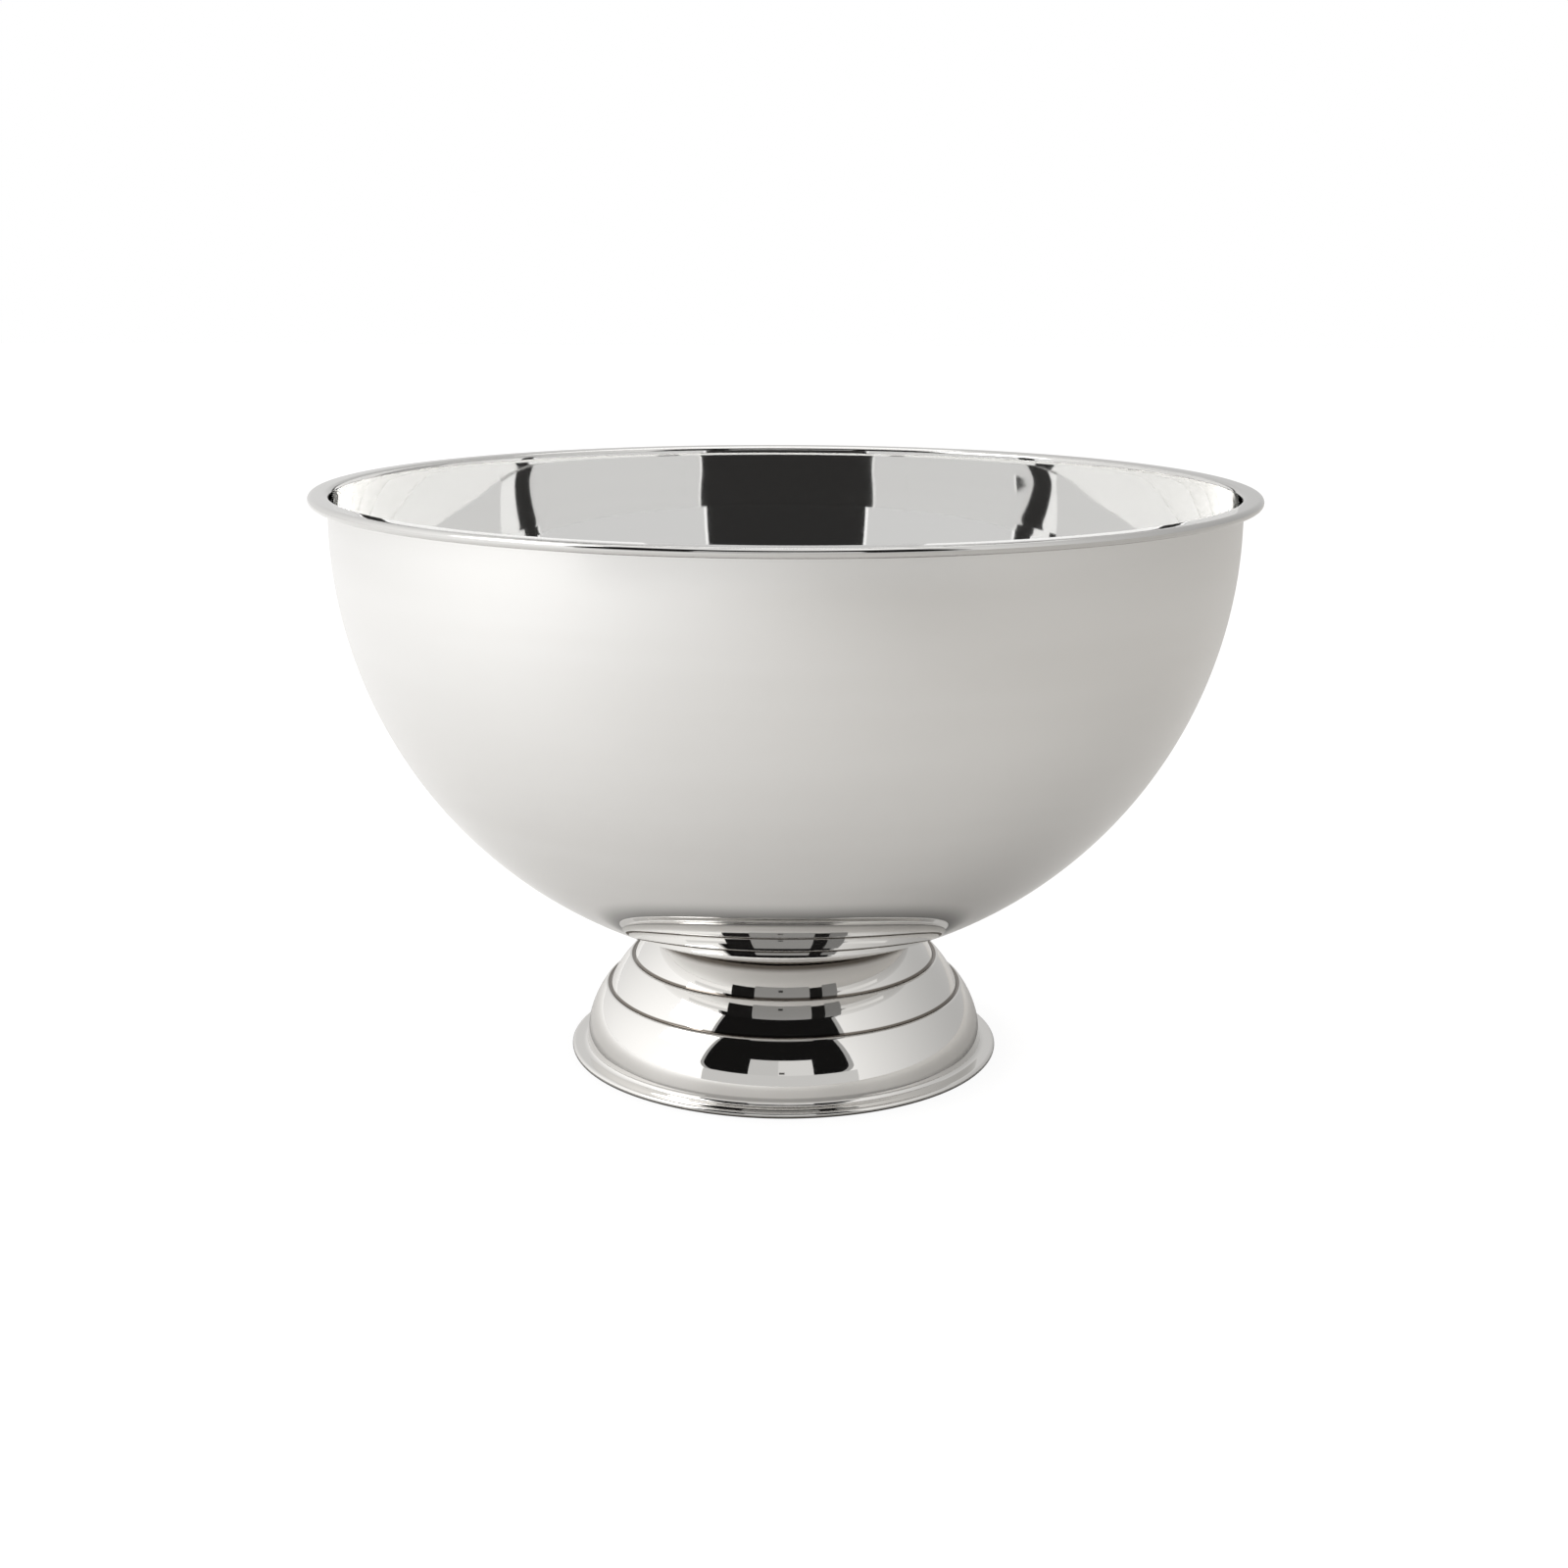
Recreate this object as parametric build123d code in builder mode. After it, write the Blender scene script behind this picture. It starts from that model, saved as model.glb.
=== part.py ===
"""Footed punch bowl: a spun stainless hemisphere on a stepped, hollow pedestal foot.

Millimetres. The origin is on the table under the bowl's axis and +Z is up.
"""
from build123d import *
from math import sqrt
import os

# --- Driving dimensions -----------------------------------------------------
rim_diameter = 400.0       # over the rolled lip
overall_height = 250.0     # table to the top of the lip
foot_diameter = 190.0      # over the rolled edge of the foot

bowl_radius = 192.0        # outside of the hemisphere and of the short wall above it
bowl_sheet = 1.0           # thickness of the bowl's sheet
bowl_wall_height = 12.0    # from the hemisphere's widest circle up to the top of the lip
lip_curl_radius = 2.0      # outside radius of the curl that closes the lip
lip_bend_radius = 1.2      # bend between the wall and the lip, on the outer face

foot_sheet = 0.9           # thickness of the foot's sheet
foot_wall_radius = 88.0    # bottom tier where it turns upright, just above the flange
foot_hem_radius = 1.4      # outside radius of the hem around the flange
foot_land_width = 1.2      # flat ring that the bowl stands on, inside the hem
foot_flange_fillet = 2.2   # bend between the bottom tier and the flange
groove_fillet = 0.45       # root of the two grooves between the tiers
shoulder_fillet = 1.2      # rounded start of each tier below a groove
neck_fillet = 1.2          # fold at the top of the foot, under the bowl

seat_gap = 1.2             # space between bowl and foot for the gasket and the stud plate
gasket_inner_radius = 38.0
gasket_outer_radius = 50.0
stud_plate_radius = 22.0
stud_diameter = 8.0
stud_length = 18.0
foot_hole_radius = 6.5     # clearance hole for the stud in the foot's crown
clamp_radius = 28.0
clamp_edge = 2.0           # height of the clamp disc's rim
clamp_bore_radius = 4.6
washer_outer_radius = 7.2
washer_bore_radius = 4.3
washer_thickness = 2.0
washer_split = 1.2
nut_height = 8.0
nut_base_radius = 7.6
nut_tip_radius = 5.6
nut_bore_radius = 4.1
wing_reach = 19.0          # from the axis to the tip of a wing
wing_thickness = 2.4

# --- Derived places ---------------------------------------------------------
bowl_centre = overall_height - bowl_wall_height
lip_curl_centre = (rim_diameter / 2 - lip_curl_radius, overall_height - lip_curl_radius)
seat_radius = bowl_radius + seat_gap            # top face of the foot's crown
crown_under_radius = seat_radius + foot_sheet   # bottom face of the crown


def dish(sphere_radius, r):
    """Point at radius r on a bowl-shaped surface centred on the hemisphere's centre."""
    return (r, bowl_centre - sqrt(sphere_radius**2 - r**2))


def dish_ring(inner_sphere, outer_sphere, inner_r, outer_r):
    """Closed outline of a dished ring, or of a disc where inner_r is 0."""
    ThreePointArc(
        dish(inner_sphere, inner_r),
        dish(inner_sphere, (inner_r + outer_r) / 2),
        dish(inner_sphere, outer_r),
    )
    Line(dish(inner_sphere, outer_r), dish(outer_sphere, outer_r))
    ThreePointArc(
        dish(outer_sphere, outer_r),
        dish(outer_sphere, (inner_r + outer_r) / 2),
        dish(outer_sphere, inner_r),
    )
    Line(dish(outer_sphere, inner_r), dish(inner_sphere, inner_r))


# --- Bowl -------------------------------------------------------------------
# The line is the outer face of the sheet: up the hemisphere and the wall, out along the
# underside of the lip, then three quarters of a turn around the hollow of the curl.
curl_hollow = lip_curl_radius - bowl_sheet
lip_underside = overall_height - bowl_sheet

lip_bend_centre = (bowl_radius + lip_bend_radius, lip_underside - lip_bend_radius)


def bowl_face(depth):
    """One face of the bowl's sheet: the outer face, or the inner one at a sheet's depth."""
    CenterArc((0, bowl_centre), bowl_radius - depth, -90, 90)
    Line((bowl_radius - depth, bowl_centre), (bowl_radius - depth, lip_bend_centre[1]))
    CenterArc(lip_bend_centre, lip_bend_radius + depth, 180, -90)
    Line((lip_bend_centre[0], lip_underside + depth), (lip_curl_centre[0], lip_underside + depth))
    CenterArc(lip_curl_centre, curl_hollow + depth, 90, -270)


with BuildPart() as bowl_shell:
    with BuildSketch(Plane.XZ):
        with BuildLine():
            bowl_face(0)
            bowl_face(bowl_sheet)
            Line((0, bowl_centre - bowl_radius), (0, bowl_centre - bowl_radius + bowl_sheet))
            Line(
                (lip_curl_centre[0] - lip_curl_radius, lip_curl_centre[1]),
                (lip_curl_centre[0] - curl_hollow, lip_curl_centre[1]),
            )
        make_face()
    revolve(axis=Axis.Z)

bowl_shell.part.label = "bowl_shell"

# --- Foot -------------------------------------------------------------------
# The line is the foot's visible face: from the edge of the stud hole, out along the dished
# crown that carries the bowl, over the neck and down three tiers to the flange. A hem closes
# the flange and makes the flat ring that the bowl stands on.
crown_edge = dish(seat_radius, gasket_outer_radius + 1.0)
neck = (56.6, 54.3)
groove_upper = (66.8, 41.9)
shoulder_upper = (68.4, 42.3)
groove_lower = (77.6, 28.9)
shoulder_lower = (79.3, 29.3)
tier_bottom = (foot_wall_radius, 6.5)
flange_top = 2 * foot_hem_radius
hem_centre = (foot_diameter / 2 - foot_hem_radius, foot_hem_radius)
hem_hollow = foot_hem_radius - foot_sheet
land_inner_radius = hem_centre[0] - foot_land_width

with BuildPart() as foot_shell:
    with BuildSketch(Plane.XZ):
        with BuildLine() as foot_line:
            ThreePointArc(dish(seat_radius, foot_hole_radius), dish(seat_radius, 30), crown_edge)
            Line(crown_edge, neck)
            ThreePointArc(neck, (62.1, 48.5), groove_upper)
            Line(groove_upper, shoulder_upper)
            ThreePointArc(shoulder_upper, (73.5, 36.0), groove_lower)
            Line(groove_lower, shoulder_lower)
            ThreePointArc(shoulder_lower, (84.6, 20.5), tier_bottom)
            Line(tier_bottom, (foot_wall_radius, flange_top))
            Line((foot_wall_radius, flange_top), (hem_centre[0], flange_top))
            bends = (
                (neck, neck_fillet),
                (groove_upper, groove_fillet),
                (shoulder_upper, shoulder_fillet),
                (groove_lower, groove_fillet),
                (shoulder_lower, shoulder_fillet),
                ((foot_wall_radius, flange_top), foot_flange_fillet),
            )
            for corner, radius in bends:
                fillet(foot_line.vertices().sort_by_distance(corner)[0], radius)
            offset(amount=foot_sheet, side=Side.RIGHT)
        make_face()
        with BuildLine():
            CenterArc(hem_centre, foot_hem_radius, 90, -180)
            Line((hem_centre[0], 0), (land_inner_radius, 0))
            Line((land_inner_radius, 0), (land_inner_radius, foot_sheet))
            Line((land_inner_radius, foot_sheet), (hem_centre[0], foot_sheet))
            CenterArc(hem_centre, hem_hollow, -90, 180)
            Line((hem_centre[0], flange_top - foot_sheet), (hem_centre[0], flange_top))
        make_face()
    revolve(axis=Axis.Z)

foot_shell.part.label = "foot_shell"

# --- Seat between bowl and foot ---------------------------------------------
with BuildPart() as seat_gasket:
    with BuildSketch(Plane.XZ):
        with BuildLine():
            dish_ring(bowl_radius, seat_radius, gasket_inner_radius, gasket_outer_radius)
        make_face()
    revolve(axis=Axis.Z)

seat_gasket.part.label = "seat_gasket"

with BuildPart() as stud_plate:
    with BuildSketch(Plane.XZ):
        with BuildLine():
            dish_ring(bowl_radius, seat_radius, 0, stud_plate_radius)
        make_face()
    revolve(axis=Axis.Z)

stud_plate.part.label = "stud_plate"

# --- Fixing, all inside the hollow foot -------------------------------------
stud_radius = stud_diameter / 2
stud_tip = dish(seat_radius, 0)[1] - stud_length
stud_chamfer = 1.0

with BuildPart() as fixing_stud:
    with BuildSketch(Plane.XZ):
        with BuildLine():
            Line((0, stud_tip), dish(seat_radius, 0))
            ThreePointArc(
                dish(seat_radius, 0), dish(seat_radius, stud_radius / 2), dish(seat_radius, stud_radius)
            )
            Line(dish(seat_radius, stud_radius), (stud_radius, stud_tip + stud_chamfer))
            Line((stud_radius, stud_tip + stud_chamfer), (stud_radius - stud_chamfer, stud_tip))
            Line((stud_radius - stud_chamfer, stud_tip), (0, stud_tip))
        make_face()
    revolve(axis=Axis.Z)

fixing_stud.part.label = "fixing_stud"

clamp_seat = dish(crown_under_radius, 0)[1] - 2.5   # flat underside, where the washer bears
clamp_flat_radius = 12.0

with BuildPart() as clamp_disc:
    with BuildSketch(Plane.XZ):
        with BuildLine():
            ThreePointArc(
                dish(crown_under_radius, clamp_bore_radius),
                dish(crown_under_radius, clamp_radius / 2),
                dish(crown_under_radius, clamp_radius),
            )
            clamp_rim = dish(crown_under_radius, clamp_radius)
            Line(clamp_rim, (clamp_radius, clamp_rim[1] - clamp_edge))
            Line((clamp_radius, clamp_rim[1] - clamp_edge), (clamp_flat_radius, clamp_seat))
            Line((clamp_flat_radius, clamp_seat), (clamp_bore_radius, clamp_seat))
            Line((clamp_bore_radius, clamp_seat), dish(crown_under_radius, clamp_bore_radius))
        make_face()
    revolve(axis=Axis.Z)

clamp_disc.part.label = "clamp_disc"

washer_bottom = clamp_seat - washer_thickness

with BuildPart() as lock_washer:
    with BuildSketch(Plane.XY.offset(washer_bottom)):
        Circle(washer_outer_radius)
        Circle(washer_bore_radius, mode=Mode.SUBTRACT)
        split_centre = (washer_outer_radius + washer_bore_radius) / 2
        with Locations((split_centre, 0)):
            Rectangle(washer_outer_radius, washer_split, mode=Mode.SUBTRACT)
    extrude(amount=washer_thickness)

lock_washer.part.label = "lock_washer"

nut_bottom = washer_bottom - nut_height
wing_sweep = 5.0    # how far the wing tips reach below the hub

with BuildPart() as wing_nut:
    with BuildSketch(Plane.XZ.offset(-wing_thickness / 2)):
        with BuildLine():
            Spline(
                (nut_tip_radius, washer_bottom - 1.5),
                (wing_reach - 3.0, nut_bottom - 0.5),
                (wing_reach - 2.0, nut_bottom - wing_sweep),
                (wing_reach - 7.0, nut_bottom - wing_sweep),
                (nut_tip_radius - 1.0, nut_bottom + 0.6),
            )
            Line((nut_tip_radius - 1.0, nut_bottom + 0.6), (nut_tip_radius, washer_bottom - 1.5))
        make_face()
        mirror(about=Plane.YZ)
    extrude(amount=wing_thickness)
    with BuildSketch(Plane.XZ):
        with BuildLine():
            Polyline(
                (0, washer_bottom), (nut_base_radius, washer_bottom),
                (nut_tip_radius, nut_bottom), (0, nut_bottom), close=True,
            )
        make_face()
    revolve(axis=Axis.Z)
    with Locations((0, 0, washer_bottom)):
        Hole(nut_bore_radius, depth=nut_height + 1)

wing_nut.part.label = "wing_nut"

# --- Files ------------------------------------------------------------------
os.makedirs("parts", exist_ok=True)
export_step(bowl_shell.part, "parts/bowl_shell.step")
export_step(foot_shell.part, "parts/foot_shell.step")
export_step(seat_gasket.part, "parts/seat_gasket.step")
export_step(stud_plate.part, "parts/stud_plate.step")
export_step(fixing_stud.part, "parts/fixing_stud.step")
export_step(clamp_disc.part, "parts/clamp_disc.step")
export_step(lock_washer.part, "parts/lock_washer.step")
export_step(wing_nut.part, "parts/wing_nut.step")
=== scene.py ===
# Footed punch bowl in spun steel, standing on a pale studio floor
import bmesh
import bpy
import math
from mathutils import Matrix, Vector


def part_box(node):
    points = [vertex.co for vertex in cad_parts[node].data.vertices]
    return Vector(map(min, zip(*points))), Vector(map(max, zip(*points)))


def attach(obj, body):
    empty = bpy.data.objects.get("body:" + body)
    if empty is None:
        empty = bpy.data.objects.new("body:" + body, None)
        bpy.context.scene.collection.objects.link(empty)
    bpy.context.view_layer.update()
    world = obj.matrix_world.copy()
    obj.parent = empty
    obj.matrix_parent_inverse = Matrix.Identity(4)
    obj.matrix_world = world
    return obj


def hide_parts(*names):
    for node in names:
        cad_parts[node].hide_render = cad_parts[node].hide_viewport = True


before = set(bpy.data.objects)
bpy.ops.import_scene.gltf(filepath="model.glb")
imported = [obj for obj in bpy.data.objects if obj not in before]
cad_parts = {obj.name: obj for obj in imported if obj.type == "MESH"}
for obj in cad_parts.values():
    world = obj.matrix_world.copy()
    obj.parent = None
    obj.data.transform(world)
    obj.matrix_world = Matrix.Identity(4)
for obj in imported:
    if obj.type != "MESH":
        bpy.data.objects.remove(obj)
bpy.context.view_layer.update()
print("frame loaded:", ", ".join(sorted(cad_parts)))

scene = bpy.context.scene
mm = 0.001

# camera, at the angle the bowl is best seen from
view = {
    "distance": 0.948,     # metres in front of the bowl's axis
    "height": 0.350,
    "sideways": -0.0002,
    "tiltDown": 13.69,     # degrees
    "roll": 0.2,
    "lens": 50.87,         # millimetres on a 36 mm sensor
}

cameraData = bpy.data.cameras.new("studioCamera")
cameraData.sensor_width = 36
cameraData.lens = view["lens"]
camera = bpy.data.objects.new("studioCamera", cameraData)
camera.matrix_world = (
    Matrix.Translation((view["sideways"], -view["distance"], view["height"]))
    @ Matrix.Rotation(math.radians(90 - view["tiltDown"]), 4, "X")
    @ Matrix.Rotation(math.radians(view["roll"]), 4, "Z")
)
scene.collection.objects.link(camera)
scene.camera = camera
scene.view_settings.view_transform = "Standard"
# light runs round many times inside a polished bowl
scene.cycles.max_bounces = scene.cycles.glossy_bounces = 14
print("camera placed")


# outlines: every sheet piece is a line of (radius, height) points turned on a lathe
def arcRun(centre, radius, startAngle, endAngle, steps):
    points = []
    for i in range(steps + 1):
        a = math.radians(startAngle + (endAngle - startAngle) * i / steps)
        points.append((centre[0] + radius * math.cos(a), centre[1] + radius * math.sin(a)))
    return points


def straightRun(start, end, steps):
    points = []
    for i in range(steps + 1):
        t = i / steps
        points.append((start[0] + (end[0] - start[0]) * t, start[1] + (end[1] - start[1]) * t))
    return points


def bowedRun(start, middle, end, steps):
    # the circular arc through three points
    (ax, ay), (bx, by), (cx, cy) = start, middle, end
    d = 2 * (ax * (by - cy) + bx * (cy - ay) + cx * (ay - by))
    a2, b2, c2 = ax * ax + ay * ay, bx * bx + by * by, cx * cx + cy * cy
    centre = (
        (a2 * (by - cy) + b2 * (cy - ay) + c2 * (ay - by)) / d,
        (a2 * (cx - bx) + b2 * (ax - cx) + c2 * (bx - ax)) / d,
    )
    radius = math.dist(centre, start)
    startAngle = math.degrees(math.atan2(ay - centre[1], ax - centre[0]))
    endAngle = math.degrees(math.atan2(cy - centre[1], cx - centre[0]))
    turn = (endAngle - startAngle + 180) % 360 - 180
    return arcRun(centre, radius, startAngle, startAngle + turn, steps)


def roundedLine(runs, bends, steps=8):
    # joins runs end to end and rounds the corner after each run by its bend radius
    line = list(runs[0])
    for run, bend in zip(runs[1:], bends):
        corner = Vector(run[0])
        inward = (Vector(line[-2]) - corner).normalized()
        outward = (Vector(run[1]) - corner).normalized()
        turn = math.pi - inward.angle(outward)
        reach = bend * math.tan(turn / 2)
        while (Vector(line[-1]) - corner).length < reach * 1.001:
            line.pop()
        rest = list(run)
        while (Vector(rest[0]) - corner).length < reach * 1.001:
            rest.pop(0)
        a, b = corner + inward * reach, corner + outward * reach
        for i in range(steps + 1):
            t = i / steps
            p = a * (1 - t) ** 2 + corner * 2 * t * (1 - t) + b * t**2
            line.append((p.x, p.y))
        line += rest
    return line


def offsetLine(line, depth):
    # the other face of a sheet, to the left of the line's direction
    shifted = []
    for i, point in enumerate(line):
        before, after = Vector(line[max(i - 1, 0)]), Vector(line[min(i + 1, len(line) - 1)])
        along = (after - before).normalized()
        shifted.append((point[0] - along.y * depth, point[1] + along.x * depth))
    return shifted


def turnOnLathe(name, line, closed, segments, bendAngle=50):
    # turns the line round the upright axis; points on the axis become one vertex
    verts, rows = [], []
    for radius, height in line:
        if radius < 1e-7:
            rows.append([len(verts)] * segments)
            verts.append((0, 0, height))
            continue
        rows.append(list(range(len(verts), len(verts) + segments)))
        for k in range(segments):
            a = 2 * math.pi * k / segments
            verts.append((radius * math.cos(a), radius * math.sin(a), height))
    faces = []
    pairs = list(zip(rows, rows[1:]))
    if closed:
        pairs.append((rows[-1], rows[0]))
    for low, high in pairs:
        for k in range(segments):
            n = (k + 1) % segments
            corners = [low[k], low[n], high[n], high[k]]
            unique = list(dict.fromkeys(corners))
            if len(unique) > 2:
                faces.append(unique)
    return makePiece(name, verts, faces, bendAngle)


def makePiece(name, verts, faces, bendAngle=50):
    mesh = bpy.data.meshes.new(name)
    mesh.from_pydata(verts, [], faces)
    work = bmesh.new()
    work.from_mesh(mesh)
    bmesh.ops.recalc_face_normals(work, faces=work.faces)
    work.to_mesh(mesh)
    work.free()
    mesh.shade_smooth()
    mesh.set_sharp_from_angle(angle=math.radians(bendAngle))
    piece = bpy.data.objects.new(name, mesh)
    scene.collection.objects.link(piece)
    return piece


def standIn(piece, node):
    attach(piece, "root")
    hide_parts(node)


# bowl: hemisphere, short wall, lip with a curled edge
bowl = {
    "lipWidth": 8.0 * mm,      # how far the lip stands out from the wall
    "sheet": 1.0 * mm,
    "lipBend": 1.2 * mm,
    "curl": 2.0 * mm,          # outside radius of the curl
    "segments": 288,
}

bowlLow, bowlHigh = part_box("bowl_shell")
ballRadius = bowlHigh.x - bowl["lipWidth"]
ballCentre = bowlLow.z + ballRadius


def buildBowl():
    underLip = bowlHigh.z - bowl["sheet"]
    bendCentre = (ballRadius + bowl["lipBend"], underLip - bowl["lipBend"])
    curlCentre = (bowlHigh.x - bowl["curl"], bowlHigh.z - bowl["curl"])
    outside = arcRun((0, ballCentre), ballRadius, -90, 0, 88)
    outside += straightRun((ballRadius, ballCentre), (ballRadius, bendCentre[1]), 3)[1:]
    outside += arcRun(bendCentre, bowl["lipBend"], 180, 90, 6)[1:]
    outside += straightRun((bendCentre[0], underLip), (curlCentre[0], underLip), 3)[1:]
    outside += arcRun(curlCentre, bowl["curl"] - bowl["sheet"], 90, -180, 20)[1:]
    inside = offsetLine(outside, bowl["sheet"])
    inside[0] = (0, bowlLow.z + bowl["sheet"])
    return turnOnLathe("spun_bowl", outside + inside[::-1], False, bowl["segments"])


spunBowl = buildBowl()
standIn(spunBowl, "bowl_shell")
print("bowl turned:", len(spunBowl.data.polygons), "faces")

# foot: dished crown, neck fold, three tiers with grooves between them, hemmed flange
foot = {
    "sheet": 0.9 * mm,
    "hem": 1.4 * mm,           # outside radius of the hem
    "land": 1.2 * mm,          # width of the flat ring it stands on
    "seatGap": 1.2 * mm,       # gasket space under the bowl
    "holeRadius": 6.5 * mm,
    "crownReach": 51.0 * mm,
    "neck": (56.6 * mm, 54.3 * mm),
    "upperGroove": (66.8 * mm, 41.9 * mm),
    "upperShoulder": (68.4 * mm, 42.3 * mm),
    "lowerGroove": (77.6 * mm, 28.9 * mm),
    "lowerShoulder": (79.3 * mm, 29.3 * mm),
    "wallRadius": 88.0 * mm,
    "wallHeight": 6.5 * mm,
    "grooveBend": 0.45 * mm,
    "shoulderBend": 1.2 * mm,
    "neckBend": 1.2 * mm,
    "flangeBend": 2.2 * mm,
    "segments": 176,
}

footLow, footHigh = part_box("foot_shell")


def dishHeight(radius, ball):
    return ballCentre - math.sqrt(ball**2 - radius**2)


def dishRun(ball, start, end, steps):
    # along a dish that follows the bowl's round bottom
    points = []
    for i in range(steps + 1):
        r = start + (end - start) * i / steps
        points.append((r, dishHeight(r, ball)))
    return points


def buildFoot():
    crownBall = ballRadius + foot["seatGap"]
    flangeTop = footLow.z + 2 * foot["hem"]
    hemCentre = (footHigh.x - foot["hem"], footLow.z + foot["hem"])
    crown = dishRun(crownBall, foot["holeRadius"], foot["crownReach"], 14)
    runs = [
        crown,
        straightRun(crown[-1], foot["neck"], 24),
        bowedRun(foot["neck"], (62.1 * mm, 48.5 * mm), foot["upperGroove"], 40),
        straightRun(foot["upperGroove"], foot["upperShoulder"], 24),
        bowedRun(foot["upperShoulder"], (73.5 * mm, 36.0 * mm), foot["lowerGroove"], 40),
        straightRun(foot["lowerGroove"], foot["lowerShoulder"], 24),
        bowedRun(foot["lowerShoulder"], (84.6 * mm, 20.5 * mm), (foot["wallRadius"], foot["wallHeight"]), 40),
        straightRun((foot["wallRadius"], foot["wallHeight"]), (foot["wallRadius"], flangeTop), 12),
        straightRun((foot["wallRadius"], flangeTop), (hemCentre[0], flangeTop), 14),
    ]
    bends = (
        3.0 * mm, foot["neckBend"], foot["grooveBend"], foot["shoulderBend"],
        foot["grooveBend"], foot["shoulderBend"], 3.0 * mm, foot["flangeBend"],
    )
    show = roundedLine(runs, bends)
    show += arcRun(hemCentre, foot["hem"], 90, -90, 18)[1:]
    show += straightRun((hemCentre[0], footLow.z), (hemCentre[0] - foot["land"], footLow.z), 2)[1:]
    hidden = offsetLine(show, -foot["sheet"])
    return turnOnLathe("spun_foot", show + hidden[::-1], True, foot["segments"])


spunFoot = buildFoot()
standIn(spunFoot, "foot_shell")
print("foot turned:", len(spunFoot.data.polygons), "faces")

# seat between bowl and foot
gasket = {"bore": 38 * mm, "roundedEdge": 0.4 * mm, "segments": 160}
plate = {"roundedEdge": 0.3 * mm, "segments": 96}


def dishedDisc(name, node, innerRadius, topBall, thickness, edgeBend, segments):
    # a disc or ring that lies along the bowl's round bottom, with rounded rims
    low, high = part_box(node)
    top = dishRun(topBall, innerRadius, high.x, 24)
    under = dishRun(topBall + thickness, innerRadius, high.x, 24)[::-1]
    rim = straightRun(top[-1], under[0], 4)
    runs, bends = [top, rim, under], (edgeBend, edgeBend)
    if innerRadius > 0:
        runs.append(straightRun(under[-1], top[0], 4))
        bends += (edgeBend,)
    line = roundedLine(runs, bends, 5)
    return turnOnLathe(name, line, innerRadius > 0, segments)


seatGasket = dishedDisc(
    "seat_ring", "seat_gasket", gasket["bore"], ballRadius, foot["seatGap"],
    gasket["roundedEdge"], gasket["segments"],
)
standIn(seatGasket, "seat_gasket")
studPlate = dishedDisc(
    "weld_plate", "stud_plate", 0, ballRadius, foot["seatGap"], plate["roundedEdge"], plate["segments"]
)
standIn(studPlate, "stud_plate")
print("gasket and stud plate made")

# fixing under the crown: stud, clamp disc, split washer, wing nut
stud = {"pitch": 1.25 * mm, "threadDepth": 0.62 * mm, "rowsPerTurn": 10, "segments": 64, "chamfer": 1.0 * mm}
studLow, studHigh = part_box("fixing_stud")


def buildStud():
    radius = studHigh.x
    top = studHigh.z - 0.05 * mm
    length = top - studLow.z
    rows = int(length / stud["pitch"] * stud["rowsPerTurn"])
    verts, faces = [(0, 0, studLow.z)], []
    for i in range(rows + 1):
        z = studLow.z + length * i / rows
        limit = radius - max(0, stud["chamfer"] - (z - studLow.z))    # chamfered tip
        for k in range(stud["segments"]):
            a = 2 * math.pi * k / stud["segments"]
            phase = (z / stud["pitch"] - k / stud["segments"]) % 1
            crest = min(1, 2.4 * min(phase, 1 - phase))               # flat crests, sharp roots
            r = min(limit, radius - stud["threadDepth"] * (1 - crest))
            verts.append((r * math.cos(a), r * math.sin(a), z))
    verts.append((0, 0, top))
    n = stud["segments"]
    for k in range(n):
        m = (k + 1) % n
        faces.append((0, 1 + m, 1 + k))
        faces.append((len(verts) - 1, 1 + rows * n + k, 1 + rows * n + m))
        for i in range(rows):
            faces.append((1 + i * n + k, 1 + i * n + m, 1 + (i + 1) * n + m, 1 + (i + 1) * n + k))
    return makePiece("threaded_stud", verts, faces, 60)


threadedStud = buildStud()
standIn(threadedStud, "fixing_stud")

clamp = {
    "bore": 4.6 * mm,
    "flatRadius": 12 * mm,
    "rimHeight": 2.0 * mm,
    "edgeBend": 0.7 * mm,
    "segments": 128,
}
clampLow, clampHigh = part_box("clamp_disc")


def buildClamp():
    ball = ballRadius + foot["seatGap"] + foot["sheet"]
    top = dishRun(ball, clamp["bore"], clampHigh.x, 24)
    rimFoot = (clampHigh.x, top[-1][1] - clamp["rimHeight"])
    line = roundedLine(
        [
            top,
            straightRun(top[-1], rimFoot, 8),
            straightRun(rimFoot, (clamp["flatRadius"], clampLow.z), 20),
            straightRun((clamp["flatRadius"], clampLow.z), (clamp["bore"], clampLow.z), 12),
            straightRun((clamp["bore"], clampLow.z), top[0], 6),
        ],
        (clamp["edgeBend"], clamp["edgeBend"], 2.5 * mm, 0.3 * mm),
        6,
    )
    return turnOnLathe("clamp_saddle", line, True, clamp["segments"])


clampSaddle = buildClamp()
standIn(clampSaddle, "clamp_disc")

washer = {"bore": 4.3 * mm, "split": 11.0, "lean": 9.0, "edgeBend": 0.25 * mm, "steps": 120}
washerLow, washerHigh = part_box("lock_washer")


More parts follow.
